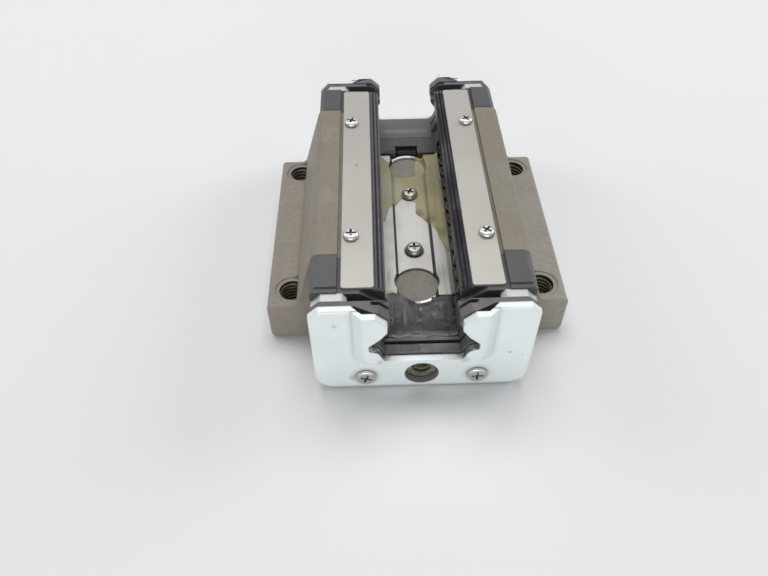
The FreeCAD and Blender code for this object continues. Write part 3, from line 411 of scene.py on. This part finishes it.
def black_rubber(name, crest, bloom_tone, valley_shade, greasy=()):
    """Oiled rubber: a dull bloom on its crests, painted shade in its grooves, and smears of grease in the
    given boxes.
    """
    finish = Finish(name)
    grease = linear(36, 31, 40)
    bloom = finish.grain(180, 4.0, 0.6)
    tone = finish.mix(finish.remap(bloom, 0.35, 0.7, 0.0, 0.6), crest, bloom_tone)
    streaks = finish.grain(1.0, 3.0, 0.6, finish.stretched(160, 50, 160))
    smear = finish.remap(streaks, 0.36, 0.56, 0.40, 0.95)
    for low, high in greasy:
        tone = finish.mix(finish.times(finish.box(low, high, 0.8), smear), tone, grease)
    # painted shade: darker in the grooves, from ambient occlusion
    tone = finish.mix(finish.remap(finish.crevice(1.0, True), 0.35, 0.95, 1.0, 0.0), tone, valley_shade)
    finish.set(Base_Color=tone, Roughness=finish.remap(bloom, 0.3, 0.7, 0.36, 0.52))
    finish.relief(bloom, 0.03, 0.3, finish.soft_normal(0.15))
    return finish.material


def greasy_screw():
    """Plated screws: bright crowns, old grease and painted shade in the crosses and under the heads, oily in
    the channel.
    """
    finish = Finish("greasy_screw")
    bright, worn = linear(212, 211, 208), linear(191, 189, 185)
    oil, old_grease_and_shade = linear(122, 115, 98), linear(70, 66, 59)
    wear = finish.grain(700, 3.0, 0.6)
    tone = finish.mix(finish.remap(wear, 0.35, 0.7), bright, worn)
    oily = finish.box(*CHANNEL_SCREWS, 1.0)
    tone = finish.mix(finish.times(oily, 0.40), tone, oil)
    # old grease and painted shade in the crosses and under the heads, from ambient occlusion
    tone = finish.mix(finish.remap(finish.crevice(1.4), 0.35, 0.90, 0.75, 0.0), tone, old_grease_and_shade)
    matte = finish.calc("ADD", finish.remap(wear, 0.3, 0.7, 0.26, 0.38), finish.times(oily, 0.10))
    finish.set(Base_Color=tone, Metallic=0.85, Roughness=matte)
    finish.relief(wear, 0.008, 0.2, finish.soft_normal(0.10))
    return finish.material


def polished_ball():
    """Bearing balls: polished steel with a thin oily film."""
    finish = Finish("polished_ball")
    clean, oily = linear(156, 153, 149), linear(112, 107, 96)
    film = finish.grain(700, 3.0)
    tone = finish.mix(finish.remap(film, 0.4, 0.75), clean, oily)
    finish.set(Base_Color=tone, Metallic=1.0, Roughness=finish.remap(film, 0.3, 0.8, 0.10, 0.26))
    return finish.material


def greasy_brass():
    """The port's bush: dull brass under olive grease with dark clots."""
    finish = Finish("greasy_brass")
    bright, olive, dark = linear(166, 163, 148), linear(118, 115, 102), linear(66, 64, 58)
    film = finish.grain(500, 4.0)
    clot = finish.grain(1100, 3.0, 0.6)
    tone = finish.mix(finish.remap(film, 0.38, 0.62), bright, olive)
    tone = finish.mix(finish.remap(clot, 0.48, 0.66, 0.0, 0.7), tone, dark)
    finish.set(Base_Color=tone, Metallic=0.4, Roughness=finish.remap(film, 0.3, 0.7, 0.22, 0.40))
    finish.relief(film, 0.03, 0.3)
    return finish.material


def grease_film(name, pale, deep, rim, roughness, cover, spots=(), clots=0.0, rim_cover=0.40):
    """A film of grease: it varies softly, is clotted in places, has spots of stains (on the grime also
    painted shade and glints), and clears towards its rim, where it takes its rim tone.
    """
    finish = Finish(name)
    clot_relief = 14
    black_clot_tone, pale_clot_tone = linear(22, 21, 24), linear(132, 127, 132)
    depth = finish.add("ShaderNodeAttribute", {"attribute_name": "depth"}).outputs["Fac"]
    cloud = finish.grain(75, 4.0)
    streak = finish.grain(1.0, 2.0, 0.5, finish.stretched(330, 45, 120))
    tone = finish.mix(finish.remap(cloud, 0.3, 0.7), pale, deep)
    tone = finish.mix(finish.remap(streak, 0.50, 0.75, 0.0, 0.4), tone, deep)
    dark_clot = finish.grain(430, 4.0, 0.6)
    pale_clot = finish.grain(1.0, 4.0, 0.6, finish.stretched(380, 260, 300))
    tone = finish.mix(finish.remap(dark_clot, 0.48, 0.62, 0.0, clots), tone, black_clot_tone)
    tone = finish.mix(finish.remap(pale_clot, 0.54, 0.68, 0.0, clots), tone, pale_clot_tone)
    for soft_spot in spots:
        tone = finish.soft_spot(tone, *soft_spot)
    # towards the rim the tone turns to the rim colour; on the olive film this darker rim is a painted shade
    # line along its edge
    tone = finish.mix(finish.remap(depth, 0.05, 0.40, 0.6, 0.0), tone, rim)
    sheen = finish.remap(streak, 0.3, 0.7, roughness - 0.06, roughness + 0.06)
    finish.set(Base_Color=tone, Roughness=sheen, Alpha=finish.remap(depth, 0.0, 0.45, rim_cover, cover))
    wrinkle = finish.grain(1.0, 3.0, 0.6, finish.stretched(900, 150, 300))
    lump = finish.times(finish.calc("SUBTRACT", pale_clot, dark_clot), clots * clot_relief)
    finish.relief(finish.calc("ADD", wrinkle, lump), 0.05, 0.16)
    return finish.material


def pale_floor():
    """The pale bench top, almost plain."""
    finish = Finish("pale_floor")
    cloud = finish.grain(6, 3.0)
    tone = finish.mix(cloud, linear(243, 244, 246), linear(247, 247, 248))
    finish.set(Base_Color=tone, Roughness=0.9, Specular_IOR_Level=0.1)
    return finish.material


FINISHES = {
    "body_steel": ground_steel(),
    "strip_steel": satin_strip(),
    "retainer_steel": bright_retainer(),
    "cover_steel": plated_sheet("white_plated_cover", linear(236, 242, 242), linear(228, 235, 235),
                                COVER_STAINS),
    "plate_steel": plated_sheet("white_plated_plate", linear(208, 210, 206), linear(196, 198, 194)),
    "cap_plastic": moulded_plastic("cap_plastic", linear(79, 79, 81), linear(71, 71, 73), 0.45,
                                   [FAR_CAP_NOTCH]),
    "guide_plastic": moulded_plastic("guide_plastic", linear(84, 84, 84), linear(66, 66, 66), 0.40),
    "keeper_plastic": moulded_plastic("keeper_plastic", linear(34, 31, 34), linear(26, 24, 26), 0.40),
    "seal_rubber": black_rubber("seal_rubber", linear(102, 101, 101), linear(80, 80, 79), linear(30, 30, 31)),
    "lip_rubber": black_rubber("lip_rubber", linear(118, 116, 119), linear(88, 84, 91), linear(22, 21, 22),
                               [RIGHT_SIDE_SEAL]),
    "screw_steel": greasy_screw(),
    "ball_steel": polished_ball(),
    "bush_brass": greasy_brass(),
}
for node in frame["nodes"].values():
    for place in node.material_slots:
        place.material = FINISHES[place.material.name]


def add_piece(name, vertices, faces, material, body="carriage"):
    """A smooth-shaded mesh that rides on a body."""
    mesh = bpy.data.meshes.new(name)
    mesh.from_pydata(vertices, [], faces)
    mesh.polygons.foreach_set("use_smooth", [True] * len(mesh.polygons))
    mesh.materials.append(material)
    piece = bpy.data.objects.new(name, mesh)
    bpy.context.scene.collection.objects.link(piece)
    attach(piece, body)
    return piece


# threads: pitches and ridge depths in metres, steps in a turn, and the ridge's section as shares
BOLT_PITCH = 1.5 * MM
BOLT_RIDGE = 0.42 * MM
BOLT_THREAD_ENDS = 1.6 * BOLT_PITCH
PORT_PITCH = 1.0 * MM
PORT_RIDGE = 0.35 * MM
THREAD_STEPS = 40
INTO_WALL = 1.01
ROOT_SHARE = 0.92
CREST_SHARE = 0.16


def add_thread(name, start, axis, bore, pitch, depth, length, material):
    """The ridge of an inside thread: a helix of a blunt triangle on a bore's wall."""
    across = axis.orthogonal().normalized()
    along = axis.cross(across)
    half = pitch / 2
    section = [(bore * INTO_WALL, -half * ROOT_SHARE), (bore - depth, -half * CREST_SHARE),
               (bore - depth, half * CREST_SHARE), (bore * INTO_WALL, half * ROOT_SHARE)]
    steps = int(length / pitch * THREAD_STEPS)
    vertices = []
    for step in range(steps + 1):
        angle = 2 * math.pi * step / THREAD_STEPS
        outward = across * math.cos(angle) + along * math.sin(angle)
        rise = pitch * step / THREAD_STEPS
        vertices += [start + outward * radius + axis * (rise + shift) for radius, shift in section]
    count = len(section)
    faces = []
    for step in range(steps):
        here, there = count * step, count * (step + 1)
        faces += [(here + side, here + side + 1, there + side + 1, there + side) for side in range(count - 1)]
    piece = add_piece(name, vertices, faces, material)
    crest = piece.data.attributes.new("depth", "FLOAT", "POINT")
    crest.data.foreach_set("value", [0.0, 1.0, 1.0, 0.0] * (steps + 1))


bright_thread = cut_thread()
for x, y in BOLT_PLACES:
    name = f"bolt_thread_{'right' if x > 0 else 'left'}_{'rear' if y > 0 else 'front'}"
    foot = Vector((x * MM, y * MM, BOLT_PITCH))
    add_thread(name, foot, Vector((0, 0, 1)), holes["hole_r_mm"] * MM, BOLT_PITCH, BOLT_RIDGE,
               FLANGE_TOP - BOLT_THREAD_ENDS, bright_thread)
for end in ("front", "rear"):
    port = mounts[f"grease_port_{end}"]
    outward = Vector(port["axis"])
    depth = port["dims"]["length_mm"] * MM
    inner = Vector(port["pos_m"]) - outward * (depth / 2 - PORT_PITCH)
    add_thread(f"port_thread_{end}", inner, outward, port["dims"]["r_mm"] * MM, PORT_PITCH, PORT_RIDGE,
               depth - 2 * PORT_PITCH, FINISHES["bush_brass"])


# films of grease: mesh step, height to drop from, lift off what is under it, and width of the thin rim, in mm
FILM_STEP = 0.3
FILM_DROP = 26.0
FILM_LIFT = 0.03
RIM_WIDTH = 1.4

# how thick a film is on the average and at least, as shares, and how fast that varies across and along
FILM_SWELL = 0.65
FILM_LEAST = 0.05
SWELL_ACROSS = 0.5
SWELL_ALONG = 0.16

# ripples of a film's outline: size in mm, how many per mm, and the layer of the noise
OUTLINE_RIPPLES = ((0.4, 0.4, 3.0), (0.2, 1.2, 9.0))

# the four cells beside a cell
BESIDE = ((1, 0), (-1, 0), (0, 1), (0, -1))


def surface_of(*names):
    """What a film lies on: the named nodes as one surface to drop points onto."""
    vertices, faces = [], []
    for name in names:
        mesh = frame["nodes"][name].data
        first = len(vertices)
        vertices += [vertex.co.copy() for vertex in mesh.vertices]
        faces += [[first + index for index in polygon.vertices] for polygon in mesh.polygons]
    return BVHTree.FromPolygons(vertices, faces)


def edge_distance(x, y, outline):
    """How far a point lies inside an outline in plan, in mm, and below zero outside."""
    inside = False
    nearest = math.inf
    for (ax, ay), (bx, by) in zip(outline, outline[1:] + outline[:1]):
        if (ay > y) != (by > y) and x < (bx - ax) * (y - ay) / (by - ay) + ax:
            inside = not inside
        run, rise = bx - ax, by - ay
        share = max(0.0, min(1.0, ((x - ax) * run + (y - ay) * rise) / (run * run + rise * rise)))
        nearest = min(nearest, math.hypot(x - ax - share * run, y - ay - share * rise))
    return nearest if inside else -nearest


def settled(heights, drape, settle):
    """A film's heights when it hangs over edges by some cells and then fills gaps by some rounds."""
    for turn in range(drape + settle):
        raised = {}
        for key, height in heights.items():
            beside = [heights.get((key[0] + a, key[1] + b), height) for a, b in BESIDE]
            raised[key] = max(height, max(beside) if turn < drape else sum(beside) / len(beside))
        heights = raised
    return heights


def add_film(name, outline, carriers, material, thickness, lumps, settle, drape=0):
    """A film of grease over an outline in plan: it lies on its carriers, fills gaps and thins at its rim."""
    ground = surface_of(*carriers)
    low_x, high_x = min(x for x, _ in outline), max(x for x, _ in outline)
    low_y, high_y = min(y for _, y in outline), max(y for _, y in outline)
    columns = int((high_x - low_x) / FILM_STEP) + 1
    rows = int((high_y - low_y) / FILM_STEP) + 1
    heights, depths = {}, {}
    for row in range(rows):
        for column in range(columns):
            x, y = low_x + column * FILM_STEP, low_y + row * FILM_STEP
            ragged = sum(size * noise.noise(Vector((x, y, layer)) * often)
                         for size, often, layer in OUTLINE_RIPPLES)
            inside = edge_distance(x, y, outline) + ragged
            if inside <= 0:
                continue
            hit = ground.ray_cast(Vector((x, y, FILM_DROP)) * MM, Vector((0, 0, -1)))[0]
            if hit is None:
                continue
            rim = min(1.0, inside / RIM_WIDTH)
            waves = noise.fractal(Vector((x * SWELL_ACROSS, y * SWELL_ALONG, 0)), 1.0, 2.0, 3)
            heights[column, row] = hit.z / MM
            depths[column, row] = max(FILM_LEAST, FILM_SWELL + lumps * waves) * rim * (2 - rim)
    heights = settled(heights, drape, settle)
    number = {key: index for index, key in enumerate(heights)}
    vertices = [Vector((low_x + column * FILM_STEP, low_y + row * FILM_STEP,
                        heights[column, row] + FILM_LIFT + thickness * depths[column, row])) * MM
                for column, row in heights]
    faces = []
    for column, row in heights:
        cell = [(column, row), (column + 1, row), (column + 1, row + 1), (column, row + 1)]
        if all(key in number for key in cell):
            faces.append([number[key] for key in cell])
    piece = add_piece(name, vertices, faces, material)
    depth = piece.data.attributes.new("depth", "FLOAT", "POINT")
    depth.data.foreach_set("value", [depths[key] for key in heights])


# outlines of the films, drawn in plan in mm
CHANNEL_GREASE = [(-11.6, 38.0), (-11.8, 2.0), (-10.0, -2.2), (-9.0, 1.4), (-8.1, 5.0), (-6.0, 8.2),
                  (-3.8, 11.0), (-2.4, 13.4), (0.0, 11.6), (1.8, 10.3), (1.5, 4.7), (3.4, 1.8), (5.4, -0.9),
                  (7.5, -5.4), (9.9, -13.2), (11.7, -18.6), (12.2, -14.0), (12.0, 38.6), (3.1, 38.6),
                  (2.4, 32.4), (2.7, 27.4), (-2.0, 26.6), (-5.7, 27.2), (-7.0, 32.7), (-9.6, 36.0)]
CAP_GRIME = [(-11.5, -37.3), (-8.1, -35.7), (-6.1, -36.5), (-4.6, -38.0), (-3.0, -38.8), (-1.3, -39.4),
             (-0.4, -40.4), (2.1, -40.6), (5.2, -39.6), (7.0, -37.9), (11.6, -37.4), (11.7, -55.2),
             (8.0, -55.8), (4.0, -55.2), (0.0, -55.9), (-4.0, -55.3), (-7.0, -55.9), (-11.7, -55.2)]
FAR_GRIME = [(-11.4, 48.4), (11.4, 48.4), (11.4, 61.0), (-11.4, 61.0)]
FAR_NOTCH = [(-9.8, 38.4), (-4.6, 38.8), (-4.0, 39.6), (4.2, 39.6), (4.4, 43.4), (-4.6, 43.4),
             (-5.0, 40.6), (-9.0, 39.9)]
LIP_GREASE = [(-8.0, -60.9), (-6.6, -57.6), (-4.4, -56.9), (-1.2, -57.8), (-0.4, -59.2), (-0.8, -60.9)]

olive_grease = grease_film("olive_grease", pale=linear(200, 192, 152), deep=linear(184, 177, 132),
                           rim=linear(134, 126, 88), roughness=0.36, cover=0.88, spots=CHANNEL_STAINS)
dark_grime = grease_film("dark_grime", pale=linear(76, 73, 78), deep=linear(55, 53, 57),
                         rim=linear(52, 50, 50), roughness=0.30, cover=0.95, spots=GRIME_STAINS_SHADE_AND_GLINTS, clots=0.75)
grey_grime = grease_film("grey_grime", pale=linear(112, 112, 113), deep=linear(101, 101, 102),
                         rim=linear(98, 98, 99), roughness=0.40, cover=0.95)
black_grease_and_shade = grease_film("black_grease_and_shade", pale=linear(36, 34, 36), deep=linear(28, 26, 27),
                           rim=linear(34, 32, 32), roughness=0.35, cover=1.0)
lip_grease = grease_film("lip_grease", pale=linear(86, 84, 79), deep=linear(74, 72, 67),
                         rim=linear(80, 78, 74), roughness=0.45, cover=0.90, rim_cover=0.05)

add_film("channel_grease", CHANNEL_GREASE, ["retainer_plate", "block_body", "end_cap_rear"], olive_grease,
         thickness=0.22, lumps=0.15, settle=4)
add_film("cap_grime", CAP_GRIME, ["end_cap_front", "end_seal_front", "retainer_plate", "block_body"],
         dark_grime, thickness=0.26, lumps=0.16, settle=160, drape=2)
add_film("far_grime", FAR_GRIME, ["end_cap_rear", "end_seal_rear"], grey_grime,
         thickness=0.15, lumps=0.2, settle=60)
# black grease in the far cap's notch, dark also as painted shade there
add_film("notch_grease_and_shade", FAR_NOTCH, ["end_cap_rear", "retainer_plate"], black_grease_and_shade,
         thickness=0.12, lumps=0.2, settle=2)
add_film("lip_grease", LIP_GREASE, ["end_seal_front"], lip_grease, thickness=0.05, lumps=0.2, settle=3)


# bench, lamps and room: metres and watts; the room's light is dimmer than the backdrop that is seen
FLOOR_REACH = 1.3
LAMP_TARGET = Vector((0, 0, 0.02))
LAMPS = {"key": (Vector((-0.05, 0.76, 2.18)), 1.60, 1.30, 26.5),
         "side_right": (Vector((1.50, 0.65, 0.90)), 0.80, 0.80, 8.5),
         "side_left": (Vector((-1.50, 0.65, 0.90)), 0.80, 0.80, 6.0),
         "fill": (Vector((-0.10, -1.70, 0.20)), 1.40, 0.30, 11.5)}
ROOM_COLOUR = (0.98, 0.99, 1.0, 1.0)
ROOM_LIGHT = 0.24
BACKDROP_LIGHT = 0.72


def add_floor():
    reach = FLOOR_REACH
    corners = [(-reach, -reach, 0), (reach, -reach, 0), (reach, reach, 0), (-reach, reach, 0)]
    mesh = bpy.data.meshes.new("floor")
    mesh.from_pydata(corners, [], [(0, 1, 2, 3)])
    mesh.materials.append(pale_floor())
    floor = bpy.data.objects.new("floor", mesh)
    bpy.context.scene.collection.objects.link(floor)


def add_lamp(name, place, width, height, energy):
    """A soft rectangular lamp that points at the part."""
    lamp = bpy.data.lights.new(name, "AREA")
    lamp.shape = "RECTANGLE"
    lamp.size = width
    lamp.size_y = height
    lamp.energy = energy
    holder = bpy.data.objects.new(name, lamp)
    holder.location = place
    holder.rotation_euler = (LAMP_TARGET - place).to_track_quat("-Z", "Y").to_euler()
    bpy.context.scene.collection.objects.link(holder)


def add_world():
    """An even room light, which the camera, metal and clear parts see as a pale backdrop."""
    world = bpy.data.worlds.new("studio")
    world.use_nodes = True
    nodes, links = world.node_tree.nodes, world.node_tree.links
    sky = nodes["Background"]
    backdrop = nodes.new("ShaderNodeBackground")
    for made, level in ((sky, ROOM_LIGHT), (backdrop, BACKDROP_LIGHT)):
        made.inputs["Color"].default_value = ROOM_COLOUR
        made.inputs["Strength"].default_value = level
    choice = nodes.new("ShaderNodeMixShader")
    rays = nodes.new("ShaderNodeLightPath").outputs
    seen_by = rays["Is Camera Ray"]
    for kind in ("Is Glossy Ray", "Is Transmission Ray"):
        either = nodes.new("ShaderNodeMath")
        either.operation = "MAXIMUM"
        links.new(seen_by, either.inputs[0])
        links.new(rays[kind], either.inputs[1])
        seen_by = either.outputs["Value"]
    links.new(seen_by, choice.inputs["Fac"])
    links.new(sky.outputs["Background"], choice.inputs[1])
    links.new(backdrop.outputs["Background"], choice.inputs[2])
    links.new(choice.outputs["Shader"], nodes["World Output"].inputs["Surface"])
    bpy.context.scene.world = world


def add_camera():
    """The photograph's camera: turned about the upright, tipped down and rolled by the solved angles."""
    down, yaw, roll = (math.radians(angle) for angle in (CAMERA_DOWN, CAMERA_YAW, CAMERA_ROLL))
    forward = Vector((math.sin(yaw) * math.cos(down), math.cos(yaw) * math.cos(down), -math.sin(down)))
    level = Vector((math.cos(yaw), -math.sin(yaw), 0))
    upright = level.cross(forward)
    right = level * math.cos(roll) + upright * math.sin(roll)
    up = upright * math.cos(roll) - level * math.sin(roll)
    data = bpy.data.cameras.new("photo_camera")
    data.sensor_fit = "HORIZONTAL"
    data.sensor_width = SENSOR_WIDTH
    data.lens = LENS_PIXELS / IMAGE_WIDTH * SENSOR_WIDTH
    data.clip_start = CLIP_START
    camera = bpy.data.objects.new("photo_camera", data)
    turn = Matrix((right, up, -forward)).transposed().to_4x4()
    camera.matrix_world = Matrix.Translation(CAMERA_PLACE * MM) @ turn
    bpy.context.scene.collection.objects.link(camera)
    bpy.context.scene.camera = camera


add_floor()
add_world()
for name, lamp in LAMPS.items():
    add_lamp(name, *lamp)
add_camera()
bpy.context.scene.view_settings.view_transform = "Standard"
